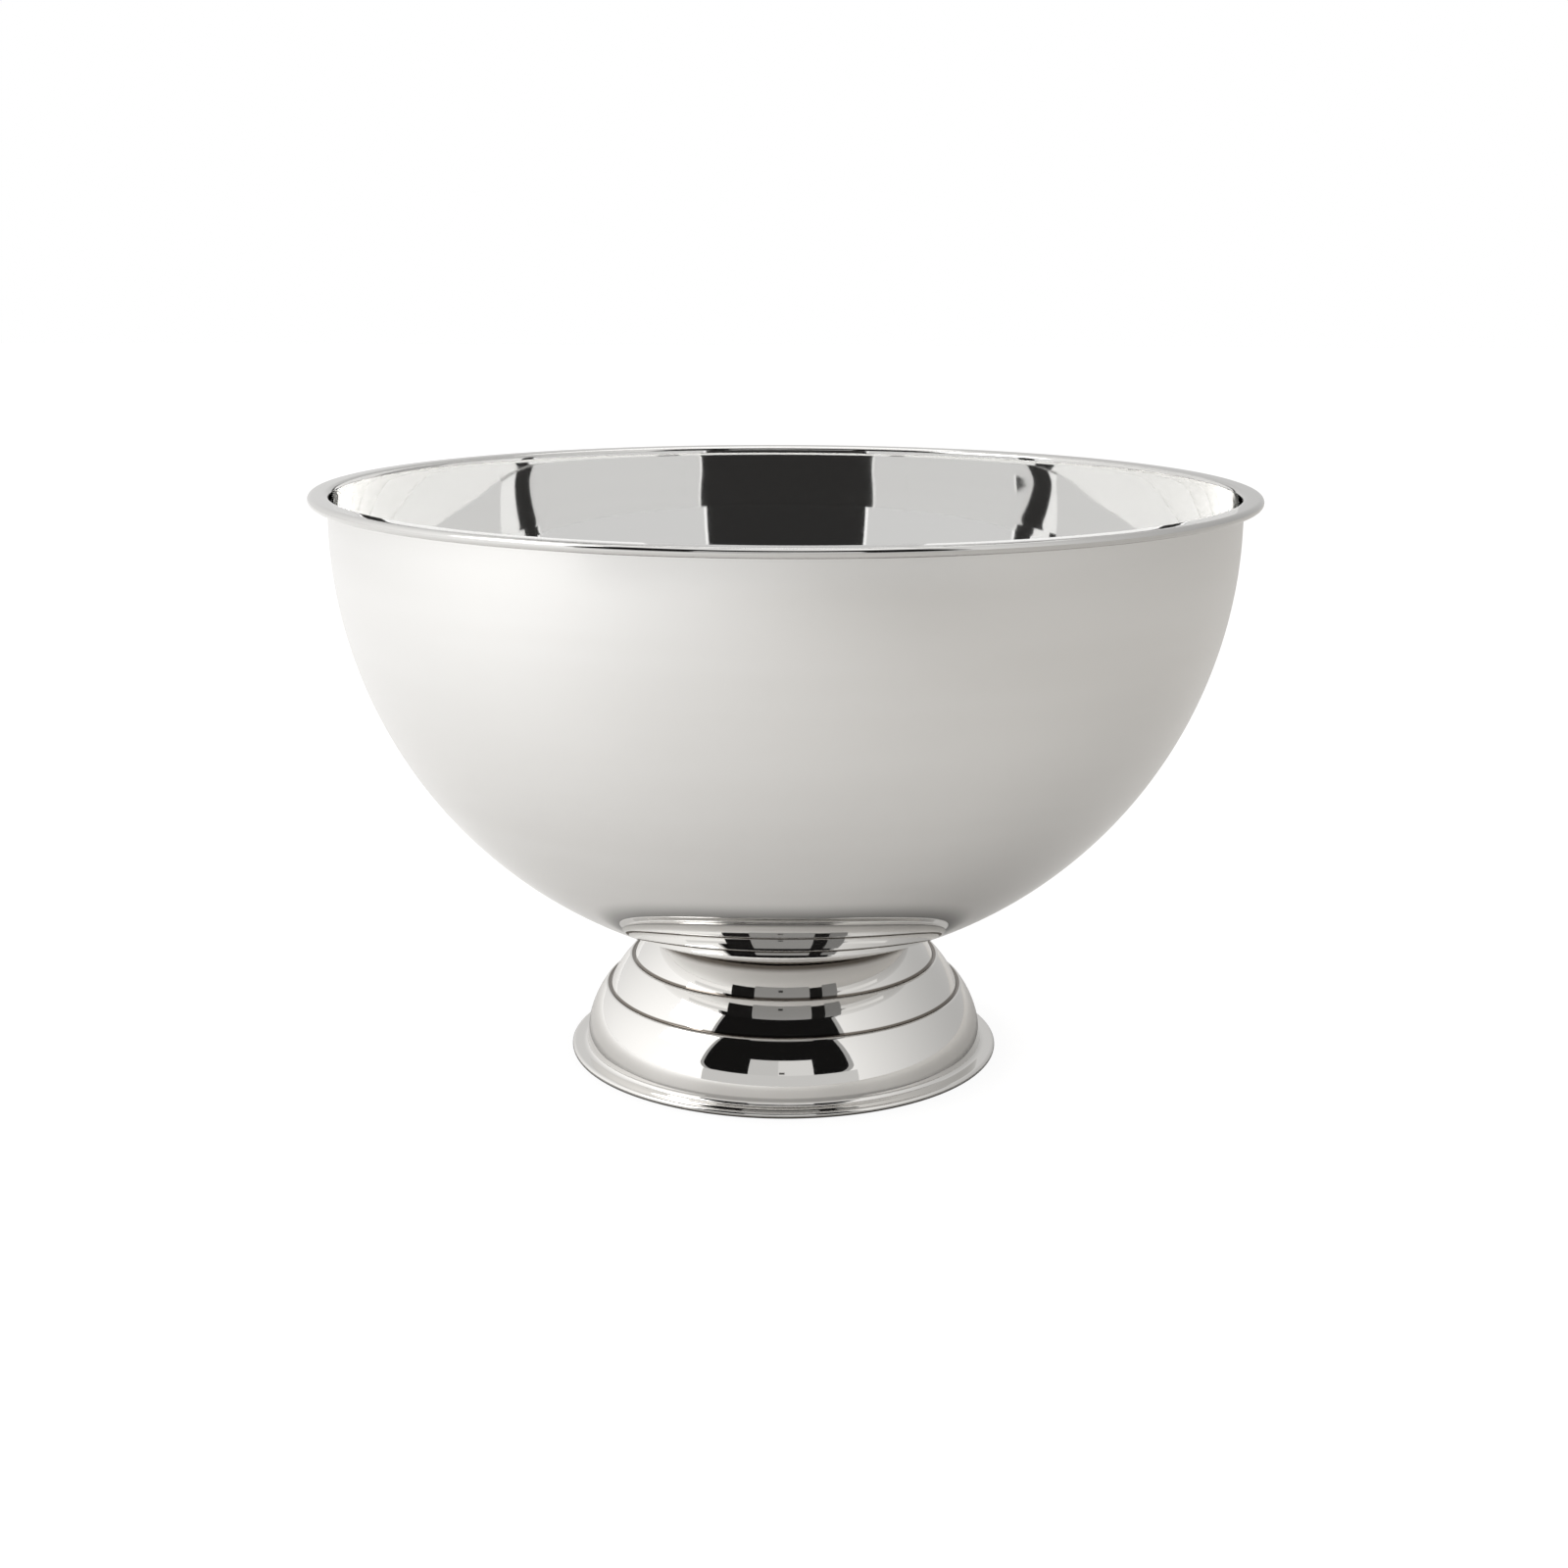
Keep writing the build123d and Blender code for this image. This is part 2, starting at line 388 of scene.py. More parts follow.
def buildWasher():
    # a square coil, one turn, cut through at a slant
    outer = washerHigh.y
    middle, half = (outer + washer["bore"]) / 2, (outer - washer["bore"]) / 2
    tall = (washerHigh.z - washerLow.z) / 2
    b = washer["edgeBend"]
    section = [
        (half, -tall + b), (half, tall - b), (half - b, tall), (-half + b, tall),
        (-half, tall - b), (-half, -tall + b), (-half + b, -tall), (half - b, -tall),
    ]
    verts, faces = [], []
    for i in range(washer["steps"] + 1):
        t = i / washer["steps"]
        for across, up in section:
            lean = washer["lean"] * up / tall
            a = math.radians(washer["split"] / 2 + lean / 2 + (360 - washer["split"]) * t)
            r = middle + across
            verts.append((r * math.cos(a), r * math.sin(a), (washerLow.z + washerHigh.z) / 2 + up))
    n = len(section)
    for i in range(washer["steps"]):
        for k in range(n):
            m = (k + 1) % n
            faces.append((i * n + k, i * n + m, (i + 1) * n + m, (i + 1) * n + k))
    faces.append(tuple(range(n))[::-1])
    faces.append(tuple(range(washer["steps"] * n, (washer["steps"] + 1) * n)))
    return makePiece("split_washer", verts, faces, 30)


splitWasher = buildWasher()
standIn(splitWasher, "lock_washer")

nut = {
    "bore": 4.1 * mm,
    "tipRadius": 5.6 * mm,
    "hubHeight": 8.0 * mm,
    "edgeBend": 0.8 * mm,
    "wingRoot": 2.6 * mm,      # half thickness where a wing leaves the hub
    "wingTip": 1.0 * mm,
    "segments": 72,
}
nutLow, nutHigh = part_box("wing_nut")


def buildNutHub():
    base = nutHigh.y
    top, bottom = nutHigh.z, nutHigh.z - nut["hubHeight"]
    line = roundedLine(
        [
            straightRun((nut["bore"], top), (base, top), 12),
            straightRun((base, top), (nut["tipRadius"], bottom), 20),
            straightRun((nut["tipRadius"], bottom), (nut["bore"], bottom), 8),
            straightRun((nut["bore"], bottom), (nut["bore"], top), 4),
        ],
        (nut["edgeBend"], nut["edgeBend"] * 0.6, 0.2 * mm),
        6,
    )
    return turnOnLathe("wing_nut_hub", line, True, nut["segments"])


def addWing(side):
    # one ear: a row of sections from the hub out to the tip, smoothed by subdivision
    reach = nutHigh.x
    top, bottom = nutHigh.z, nutLow.z
    spine = [    # distance out, upper height, lower height
        (4.8 * mm, top - 1.6 * mm, top - 7.4 * mm),
        (8.0 * mm, top - 3.0 * mm, top - 8.4 * mm),
        (11.5 * mm, top - 5.2 * mm, bottom + 1.0 * mm),
        (reach - 2.0 * mm, top - 7.6 * mm, bottom),
        (reach, top - 9.4 * mm, bottom + 1.4 * mm),
    ]
    verts, faces = [], []
    for i, (out, upper, lower) in enumerate(spine):
        t = i / (len(spine) - 1)
        half = nut["wingRoot"] + (nut["wingTip"] - nut["wingRoot"]) * min(1, t * 1.4)
        for y, z in ((-half, upper), (half, upper), (half, lower), (-half, lower)):
            verts.append((side * out, y, z))
    for i in range(len(spine) - 1):
        for k in range(4):
            m = (k + 1) % 4
            faces.append((i * 4 + k, i * 4 + m, i * 4 + 4 + m, i * 4 + 4 + k))
    faces.append((0, 1, 2, 3))
    last = (len(spine) - 1) * 4
    faces.append((last, last + 1, last + 2, last + 3))
    name = "wing_nut_ear_right" if side > 0 else "wing_nut_ear_left"
    ear = makePiece(name, verts, faces, 180)
    rounding = ear.modifiers.new("rounded", "SUBSURF")
    rounding.levels = rounding.render_levels = 3
    return ear


nutHub = buildNutHub()
standIn(nutHub, "wing_nut")
nutEars = [addWing(1), addWing(-1)]
for ear in nutEars:
    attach(ear, "root")
print("fixing made")


# shader groups shared by the steels
def newGroup(name, inputs, outputs):
    tree = bpy.data.node_groups.new(name, "ShaderNodeTree")
    for label, kind, value in inputs:
        socket = tree.interface.new_socket(name=label, in_out="INPUT", socket_type=kind)
        if value is not None:
            socket.default_value = value
    for label, kind in outputs:
        tree.interface.new_socket(name=label, in_out="OUTPUT", socket_type=kind)
    entry = tree.nodes.new("NodeGroupInput")
    result = tree.nodes.new("NodeGroupOutput")
    return tree, entry, result


def mathNode(tree, operation, first, second=None, third=None):
    node = tree.nodes.new("ShaderNodeMath")
    node.operation = operation
    for socket, value in zip(node.inputs, (first, second, third)):
        if value is None:
            continue
        if isinstance(value, (int, float)):
            socket.default_value = value
        else:
            tree.links.new(value, socket)
    return node.outputs[0]


def radiusNode(tree, x, y):
    # distance from the turning axis
    squares = mathNode(tree, "MULTIPLY", x, x), mathNode(tree, "MULTIPLY", y, y)
    return mathNode(tree, "SQRT", mathNode(tree, "ADD", *squares))


def rangeNode(tree, value, fromLow, fromHigh, toLow, toHigh):
    node = tree.nodes.new("ShaderNodeMapRange")
    node.interpolation_type = "SMOOTHSTEP"
    for label, amount in zip(
        ("Value", "From Min", "From Max", "To Min", "To Max"), (value, fromLow, fromHigh, toLow, toHigh)
    ):
        if isinstance(amount, (int, float)):
            node.inputs[label].default_value = amount
        else:
            tree.links.new(amount, node.inputs[label])
    return node.outputs["Result"]


def noiseNode(tree, vector, scale, detail, roughness=0.55):
    node = tree.nodes.new("ShaderNodeTexNoise")
    tree.links.new(vector, node.inputs["Vector"])
    if isinstance(scale, (int, float)):
        node.inputs["Scale"].default_value = scale
    else:
        tree.links.new(scale, node.inputs["Scale"])
    node.inputs["Detail"].default_value = detail
    node.inputs["Roughness"].default_value = roughness
    return node.outputs["Fac"]


def makeSpinLines():
    # fine lines left by polishing on a lathe: they run round the axis, long one way, thin the other
    tree, entry, result = newGroup(
        "spinLines",
        [("Lines per metre", "NodeSocketFloat", 2500), ("Streak spread", "NodeSocketFloat", 2.0),
         ("Ball centre", "NodeSocketFloat", ballCentre)],
        [("Lines", "NodeSocketFloat"), ("Bands", "NodeSocketFloat")],
    )
    place = tree.nodes.new("ShaderNodeTexCoord")
    split = tree.nodes.new("ShaderNodeSeparateXYZ")
    tree.links.new(place.outputs["Object"], split.inputs[0])
    x, y, z = split.outputs
    radius = radiusNode(tree, x, y)
    safe = mathNode(tree, "MAXIMUM", radius, 0.002)
    turnX = mathNode(tree, "MULTIPLY", mathNode(tree, "DIVIDE", x, safe), entry.outputs["Streak spread"])
    turnY = mathNode(tree, "MULTIPLY", mathNode(tree, "DIVIDE", y, safe), entry.outputs["Streak spread"])
    drop = mathNode(tree, "SUBTRACT", entry.outputs["Ball centre"], z)
    polar = mathNode(tree, "ARCTAN2", radius, drop)
    along = mathNode(tree, "MULTIPLY", polar, ballRadius)
    fine = tree.nodes.new("ShaderNodeCombineXYZ")
    tree.links.new(turnX, fine.inputs[0])
    tree.links.new(turnY, fine.inputs[1])
    tree.links.new(mathNode(tree, "MULTIPLY", along, entry.outputs["Lines per metre"]), fine.inputs[2])
    tree.links.new(noiseNode(tree, fine.outputs[0], 1.0, 3, 0.6), result.inputs["Lines"])
    broad = tree.nodes.new("ShaderNodeCombineXYZ")
    tree.links.new(mathNode(tree, "MULTIPLY", turnX, 0.5), broad.inputs[0])
    tree.links.new(mathNode(tree, "MULTIPLY", turnY, 0.5), broad.inputs[1])
    tree.links.new(mathNode(tree, "MULTIPLY", along, 90), broad.inputs[2])
    tree.links.new(noiseNode(tree, broad.outputs[0], 1.0, 2, 0.5), result.inputs["Bands"])
    return tree


def makeHandling():
    # faint wipe marks and hairline scratches from washing and drying
    tree, entry, result = newGroup(
        "handlingMarks",
        [("Smudge size", "NodeSocketFloat", 18.0), ("Scratch size", "NodeSocketFloat", 60.0)],
        [("Smudges", "NodeSocketFloat"), ("Scratches", "NodeSocketFloat")],
    )
    place = tree.nodes.new("ShaderNodeTexCoord")
    smudge = noiseNode(tree, place.outputs["Object"], entry.outputs["Smudge size"], 4, 0.6)
    tree.links.new(rangeNode(tree, smudge, 0.42, 0.72, 0, 1), result.inputs["Smudges"])
    turned = tree.nodes.new("ShaderNodeMapping")
    turned.inputs["Rotation"].default_value = (0.6, 0.4, 0.9)
    turned.inputs["Scale"].default_value = (1, 14, 14)
    tree.links.new(place.outputs["Object"], turned.inputs["Vector"])
    hair = noiseNode(tree, turned.outputs[0], entry.outputs["Scratch size"], 3, 0.7)
    line = mathNode(tree, "ABSOLUTE", mathNode(tree, "SUBTRACT", hair, 0.5))
    tree.links.new(rangeNode(tree, line, 0, 0.012, 1, 0), result.inputs["Scratches"])
    return tree


def makePaintedShadeRing():
    # a ring of painted shade at the bottom of a groove, a dark line standing in for the shadow and dark
    # reflection there
    tree, entry, result = newGroup(
        "paintedShadeRing",
        [("Groove radius", "NodeSocketFloat", 0.07), ("Groove height", "NodeSocketFloat", 0.03),
         ("Groove width", "NodeSocketFloat", 0.001)],
        [("Mark", "NodeSocketFloat")],
    )
    place = tree.nodes.new("ShaderNodeTexCoord")
    split = tree.nodes.new("ShaderNodeSeparateXYZ")
    tree.links.new(place.outputs["Object"], split.inputs[0])
    x, y, z = split.outputs
    radius = radiusNode(tree, x, y)
    out = mathNode(tree, "SUBTRACT", radius, entry.outputs["Groove radius"])
    up = mathNode(tree, "SUBTRACT", z, entry.outputs["Groove height"])
    width = entry.outputs["Groove width"]
    offset = mathNode(tree, "ABSOLUTE", mathNode(tree, "SUBTRACT", up, 0.0003))
    band = rangeNode(tree, mathNode(tree, "DIVIDE", offset, width), 0.4, 1, 1, 0)
    inner = rangeNode(tree, mathNode(tree, "DIVIDE", out, width), 1, 1.6, 1, 0)
    tree.links.new(mathNode(tree, "MULTIPLY", band, inner), result.inputs["Mark"])
    return tree


spinLines = makeSpinLines()
handlingMarks = makeHandling()
paintedShadeRing = makePaintedShadeRing()


def placeGroup(tree, group, **values):
    node = tree.nodes.new("ShaderNodeGroup")
    node.node_tree = group
    for label, value in values.items():
        node.inputs[label.replace("_", " ")].default_value = value
    return node


def newMaterial(name, colour, metallic):
    material = bpy.data.materials.new(name)
    material.use_nodes = True
    tree = material.node_tree
    shader = tree.nodes["Principled BSDF"]
    shader.inputs["Base Color"].default_value = (*colour, 1)
    shader.inputs["Metallic"].default_value = metallic
    material.diffuse_color = (*colour, 1)
    return material, tree, shader


def mixColour(tree, factor, first, second):
    node = tree.nodes.new("ShaderNodeMix")
    node.data_type = "RGBA"
    if isinstance(factor, (int, float)):
        node.inputs["Factor"].default_value = factor
    else:
        tree.links.new(factor, node.inputs["Factor"])
    for socket, colour in ((node.inputs[6], first), (node.inputs[7], second)):
        if isinstance(colour, tuple):
            socket.default_value = (*colour, 1)
        else:
            tree.links.new(colour, socket)
    return node.outputs[2]


def addBump(tree, shader, height, strength, distance):
    bump = tree.nodes.new("ShaderNodeBump")
    bump.inputs["Strength"].default_value = strength
    bump.inputs["Distance"].default_value = distance
    tree.links.new(height, bump.inputs["Height"])
    tree.links.new(bump.outputs[0], shader.inputs["Normal"])


def addGloss(tree, shader, base, parts):
    # roughness is a base value plus each pattern times its share
    total = base
    for pattern, share in parts:
        total = mathNode(tree, "ADD", total, mathNode(tree, "MULTIPLY", pattern, share))
    tree.links.new(total, shader.inputs["Roughness"])


def heightOf(tree):
    place = tree.nodes.new("ShaderNodeTexCoord")
    split = tree.nodes.new("ShaderNodeSeparateXYZ")
    tree.links.new(place.outputs["Object"], split.inputs[0])
    return split.outputs[2]


# steels
finish = {
    "satinRoughness": 0.235,
    "polishedRoughness": 0.035,
    "polishedBelow": 0.096,     # metres: the round bottom is mirror-bright up to here
    "satinAbove": 0.140,
    "steelLight": (0.745, 0.741, 0.733),
    "steelShade": (0.705, 0.698, 0.686),
    "insideSteel": (0.735, 0.734, 0.729),
    "footSteel": (0.735, 0.724, 0.706),
    # the lip is the bowl's own sheet, its colour darkened as painted shade
    "paintedShadeLipSteel": (0.60, 0.595, 0.585),
    "paintedGrooveShade": (0.17, 0.15, 0.13),       # painted shade in the grooves, at the neck fold and along the hem's underside
}


def makeSatinSteel():
    material, tree, shader = newMaterial("satinSteel", finish["steelLight"], 1)
    lines = placeGroup(tree, spinLines, Lines_per_metre=2600, Streak_spread=1.6)
    marks = placeGroup(tree, handlingMarks, Smudge_size=9, Scratch_size=40)
    satin = rangeNode(tree, heightOf(tree), finish["polishedBelow"], finish["satinAbove"], 0, 1)
    tree.links.new(
        mixColour(tree, lines.outputs["Bands"], finish["steelShade"], finish["steelLight"]),
        shader.inputs["Base Color"],
    )
    span = finish["satinRoughness"] - finish["polishedRoughness"]
    lined = mathNode(tree, "MULTIPLY", lines.outputs["Lines"], satin)
    addGloss(
        tree, shader, finish["polishedRoughness"],
        [(satin, span), (lined, 0.03), (marks.outputs["Smudges"], 0.012)],
    )
    addBump(tree, shader, lined, 0.16, 0.00002)
    return material


def makeMirrorSteel(name, colour, lineShare, linesPerMetre, paintShadeRings=False):
    material, tree, shader = newMaterial(name, colour, 1)
    lines = placeGroup(tree, spinLines, Lines_per_metre=linesPerMetre, Streak_spread=1.2)
    marks = placeGroup(tree, handlingMarks, Smudge_size=14, Scratch_size=70)
    shade = tuple(c * 0.97 for c in colour)
    tone = mixColour(tree, lines.outputs["Bands"], shade, colour)
    # the foot gets rings of painted shade: dark lines in both grooves, at the neck fold and under the hem
    if paintShadeRings:
        hem = (footHigh.x, footLow.z + 0.1 * mm)
        grooves = (foot["neck"], 3.4), (foot["upperGroove"], 0.9), (foot["lowerGroove"], 0.9), (hem, 0.9)
        for (radius, height), width in grooves:
            groove = placeGroup(
                tree, paintedShadeRing, Groove_radius=radius, Groove_height=height, Groove_width=width * mm
            )
            tone = mixColour(tree, groove.outputs["Mark"], tone, finish["paintedGrooveShade"])
    tree.links.new(tone, shader.inputs["Base Color"])
    addGloss(
        tree, shader, finish["polishedRoughness"] * 0.6,
        [
            (lines.outputs["Lines"], lineShare),
            (marks.outputs["Smudges"], 0.014),
            (marks.outputs["Scratches"], 0.03),
        ],
    )
    addBump(tree, shader, lines.outputs["Lines"], 0.06, 0.000006)
    return material


def makePlainSteel(name, colour, roughness, grain):
    # small zinc or nickel plated fittings: cloudy colour, fine grain
    material, tree, shader = newMaterial(name, colour, 1)
    marks = placeGroup(tree, handlingMarks, Smudge_size=160, Scratch_size=300)
    place = tree.nodes.new("ShaderNodeTexCoord")
    speckle = noiseNode(tree, place.outputs["Object"], grain, 4, 0.6)
    shade = tuple(c * 0.8 for c in colour)
    tree.links.new(mixColour(tree, marks.outputs["Smudges"], colour, shade), shader.inputs["Base Color"])
    addGloss(tree, shader, roughness, [(speckle, 0.12), (marks.outputs["Scratches"], 0.08)])
    addBump(tree, shader, speckle, 0.2, 0.00002)
    return material


def makeGasketRubber():
    material, tree, shader = newMaterial("gasketRubber", (0.035, 0.035, 0.038), 0)
    place = tree.nodes.new("ShaderNodeTexCoord")
    speckle = noiseNode(tree, place.outputs["Object"], 900, 3, 0.6)
    tone = mixColour(tree, speckle, (0.025, 0.025, 0.027), (0.055, 0.055, 0.058))
    tree.links.new(tone, shader.inputs["Base Color"])
    addGloss(tree, shader, 0.5, [(speckle, 0.2)])
    addBump(tree, shader, speckle, 0.3, 0.00003)
    return material


satinSteel = makeSatinSteel()
insideSteel = makeMirrorSteel("brightInside", finish["insideSteel"], 0.012, 1500)
paintedShadeLipSteel = makeMirrorSteel("paintedShadeLipSteel", finish["paintedShadeLipSteel"], 0.08, 4000)
# the foot's steel carries rings of painted shade in its grooves, at the neck and under the hem
footSteel = makeMirrorSteel("footSteel", finish["footSteel"], 0.012, 1800, True)
plateSteel = makePlainSteel("plateSteel", (0.62, 0.61, 0.59), 0.34, 700)
studSteel = makePlainSteel("studSteel", (0.60, 0.59, 0.57), 0.22, 900)
clampZinc = makePlainSteel("clampZinc", (0.66, 0.67, 0.66), 0.30, 500)
springSteel = makePlainSteel("springSteel", (0.30, 0.295, 0.285), 0.30, 800)
nutNickel = makePlainSteel("nutNickel", (0.70, 0.67, 0.61), 0.18, 700)
gasketRubber = makeGasketRubber()


def dressBowl():
    # three finishes on one sheet: satin outside, bright inside, bright lip in a darker colour that is painted
    # shade
    mesh = spunBowl.data
    for material in (satinSteel, insideSteel, paintedShadeLipSteel):
        mesh.materials.append(material)
    lipStart = bowlHigh.z - bowl["sheet"] - bowl["lipBend"]
    centre = Vector((0, 0, ballCentre))
    for face in mesh.polygons:
        c = face.center
        flat = Vector((c.x, c.y, 0))
        away = flat if c.z > ballCentre else c - centre
        if c.z > lipStart or flat.length > ballRadius + 0.3 * mm:
            face.material_index = 2
        elif away.dot(face.normal) < 0:
            face.material_index = 1


dressBowl()
for piece, material in (
    (spunFoot, footSteel), (seatGasket, gasketRubber), (studPlate, plateSteel), (threadedStud, studSteel),
    (clampSaddle, clampZinc), (splitWasher, springSteel), (nutHub, nutNickel),
    (nutEars[0], nutNickel), (nutEars[1], nutNickel),
):
    piece.data.materials.append(material)
print("materials made")

# studio: pale floor painted lighter on the left and darker on the right, soft light brighter on the left, and
# cards that only show in the polished steel
studio = {
    "floorSize": 14.0,
    "floorPaintedLight": (0.93, 0.928, 0.925),
    "floorPaintedShade": (0.55, 0.535, 0.515),
    "paintedLightSpan": (-0.9, 0.6),       # metres: where the floor's painted light starts and stops fading into painted shade
    "floorGlow": 1.16,
    "glowShare": 0.8,                # how much of the floor the camera sees as plain glow
    "contactShade": 0.45,            # how much of the floor's tone is left right beside the foot
    "contactReach": (0.093, 0.116),
    "airLight": 1.06,
    "airToRight": -0.34,
    "airToBack": -0.34,
    "dimBelow": 0.3,                 # cards dimmer than this are tinted warmer
    "dimTint": (1, 0.975, 0.95),
    "lightTint": (1, 0.995, 0.985),
}

# the cards' angles and heights below were found by tracing rays off the bowl and foot. They suit
# the front view only, each card shows on chosen bounces, and no real studio could be lit like this
ring = {
    "distance": 0.1902,
    "spacing": 0.0007,         # each bounce has a ring of its own
    "low": 0.2475,
    "high": 0.335,
    "line": 1.2,               # degrees, the light line down each side of a dark card
    "lineLight": 0.93,
    "lineAhead": 0.3 * mm,
    "darkBelow": 0.1,          # cards dimmer than this get the light lines
    "upperDistance": 0.226,
    "split": 0.2715,
    "nearest": 0.03,
}

# cards in a ring at the rim, which the inside sees: first and last bounce,
# from and to azimuth (0 is towards the front, 90 to the right), brightness as it looks in the steel
ringCards = {
    "insideGap": (1, 1, -34.4, 33.8, 0.024),
    "insidePanelRight": (1, 1, 33.8, 107, 0.61),
    "insidePanelLeft": (1, 1, -98, -34.4, 0.61),
    "insideBarRight": (1, 1, 107, 115, 0.025),
    "insideBarLeft": (1, 1, -108, -98, 0.025),
    "insideEndRight": (1, 1, 115, 158, 0.82),
    "insideEndLeft": (1, 1, -158, -108, 0.82),
    "secondGap": (2, 2, 120, 238, 0.024),
    "secondPanelRight": (2, 2, 24, 120, 0.61),
    "secondPanelLeft": (2, 2, -122, -13, 0.61),
    "thirdBarLeft": (3, 3, -112, -95, 0.025),
    "thirdBarRight": (3, 3, 97, 120, 0.025),
    "thirdLight": (3, 3, 120, 248, 0.80),
    "thirdLightFront": (3, 3, -95, 97, 0.82),
    "laterLight": (4, 14, -180, 180, 0.84),
}
# the same ring above its split, and what is seen far off through the open part below it
upperCards = {
    "secondSideLeft": (2, 2, -24, -13, 0.61),
    "secondBarLeft": (2, 2, -13, 0, 0.025),
    "secondEnd": (2, 2, 0, 9.5, 0.82),
    "secondBarRight": (2, 2, 9.5, 25, 0.025),
    "secondSideRight": (2, 2, 25, 36, 0.61),
}
farCards = {    # from and to azimuth at the foot of the card, the same at its head, brightness
    "farPanelLeft": (-75, -38, -75, -29, 0.61),
    "farBarLeft": (-38, -27.5, -29, -18.5, 0.025),
    "farEnd": (-27.5, 34, -18.5, 20, 0.82),
    "farBarRight": (34, 47, 20, 33.5, 0.025),
    "farPanelRight": (47, 80, 33.5, 80, 0.61),
}
farPlace = {"distance": 2.3, "low": 0.36, "high": 0.69}

# cards in front, seen by the foot: first and last bounce, distance, from and to azimuth, low, high,
# brightness, corner radius in degrees
frontCards = {
    "highGap": (1, 6, 2.4, -47, 38, 0.50, 3.3, 0.008, 9),
    "highGapGrey": (1, 6, 2.41, -49, 41, 0.46, 3.4, 0.45, 9),
    "reflectorLeft": (1, 1, 2.38, -20, -3, 0.40, 1.36, 0.70, 0),
    "reflectorRight": (1, 1, 2.38, -3, 17, 0.40, 1.36, 0.86, 0),
    "tableLip": (1, 1, 2.37, -46, 42, 0.0, 0.52, 0.74, 0),
    "cameraDot": (1, 1, 2.36, -2.4, 0.6, 0.58, 0.68, 0.12, 0),
    "footColumnLeft": (2, 2, 0.42, -39, -21.5, 0.018, 0.255, 0.015, 0),
    "footColumnRight": (2, 2, 0.42, 19, 28.5, 0.018, 0.255, 0.015, 0),
    "footMiddle": (2, 2, 0.42, -21.5, 19, 0.0, 0.255, 0.42, 0),
    "footGreyRight": (2, 2, 0.42, 28.5, 40, 0.0, 0.255, 0.30, 0),
    "cameraDotLow": (2, 2, 0.41, -3.8, -0.6, 0.034, 0.060, 0.05, 0),
}


def cardMaterial(name, brightness, firstBounce, lastBounce, evenOut):
    # glows on the given bounces and is clear on the others; evened out, it looks as bright on each bounce
    material = bpy.data.materials.new(name)
    material.use_nodes = True
    tree = material.node_tree
    tree.nodes.remove(tree.nodes["Principled BSDF"])
    ray = tree.nodes.new("ShaderNodeLightPath")
    depth = ray.outputs["Ray Depth"]
    glow = tree.nodes.new("ShaderNodeEmission")
    tint = studio["dimTint"] if brightness < studio["dimBelow"] else studio["lightTint"]
    glow.inputs["Color"].default_value = (*tint, 1)
    if evenOut:
        gain = mathNode(tree, "POWER", 1 / finish["insideSteel"][1], depth)
        tree.links.new(mathNode(tree, "MULTIPLY", gain, brightness), glow.inputs["Strength"])
    else:
        glow.inputs["Strength"].default_value = brightness
    clear = tree.nodes.new("ShaderNodeBsdfTransparent")
    blend = tree.nodes.new("ShaderNodeMixShader")
    middle, reach = (firstBounce + lastBounce) / 2, (lastBounce - firstBounce) / 2 + 0.25
    shown = mathNode(tree, "COMPARE", depth, middle, reach)
    if evenOut:    # not seen by the lip right beside it
        far = mathNode(tree, "GREATER_THAN", ray.outputs["Ray Length"], ring["nearest"])
        shown = mathNode(tree, "MULTIPLY", shown, far)
    tree.links.new(shown, blend.inputs[0])
    tree.links.new(clear.outputs[0], blend.inputs[1])
    tree.links.new(glow.outputs[0], blend.inputs[2])
    tree.links.new(blend.outputs[0], tree.nodes["Material Output"].inputs["Surface"])
    material.cycles.emission_sampling = "NONE"
    return material


def addCard(name, distance, footTurns, headTurns, low, high, material, corner=0):
    # an upright curved card, seen only in reflections, with rounded corners if asked
    start, end = footTurns
    steps = max(8, int(abs(end - start)) * (8 if corner else 1))
    verts, faces = [], []
    for i in range(steps + 1):
        t = i / steps
        inset = 0
        if corner:
            near = min(t, 1 - t) * abs(end - start) / corner
            if near < 1:
                inset = (1 - math.sqrt(1 - (1 - near) ** 2)) * math.radians(corner) * distance
        for turns, height in ((footTurns, low + inset), (headTurns, high - inset)):
            a = math.radians(turns[0] + (turns[1] - turns[0]) * t)
            verts.append((math.sin(a) * distance, -math.cos(a) * distance, height))
    for i in range(steps):
        faces.append((i * 2, i * 2 + 2, i * 2 + 3, i * 2 + 1))
    card = makePiece(name, verts, faces)
    card.data.materials.append(material)
    card.visible_camera = card.visible_diffuse = card.visible_shadow = False


def addRing(cards, place, low):
    for name, (first, last, start, end, brightness) in cards.items():
        material = cardMaterial(name, brightness, first, last, True)
        distance = place - ring["spacing"] * first
        addCard(name, distance, (start, end), (start, end), low, ring["high"], material)
        if brightness < ring["darkBelow"]:
            for side, turn in (("Near", start), ("Far", end - ring["line"])):
                line = cardMaterial(name + side, ring["lineLight"], first, last, True)
                turns = (turn, turn + ring["line"])
                addCard(name + side, distance - ring["lineAhead"], turns, turns, low, ring["high"], line)


def addFar():
    for name, (footStart, footEnd, headStart, headEnd, brightness) in farCards.items():
        material = cardMaterial(name, brightness, 2, 2, True)
        turns = (footStart, footEnd), (headStart, headEnd)
        addCard(name, farPlace["distance"], *turns, farPlace["low"], farPlace["high"], material)


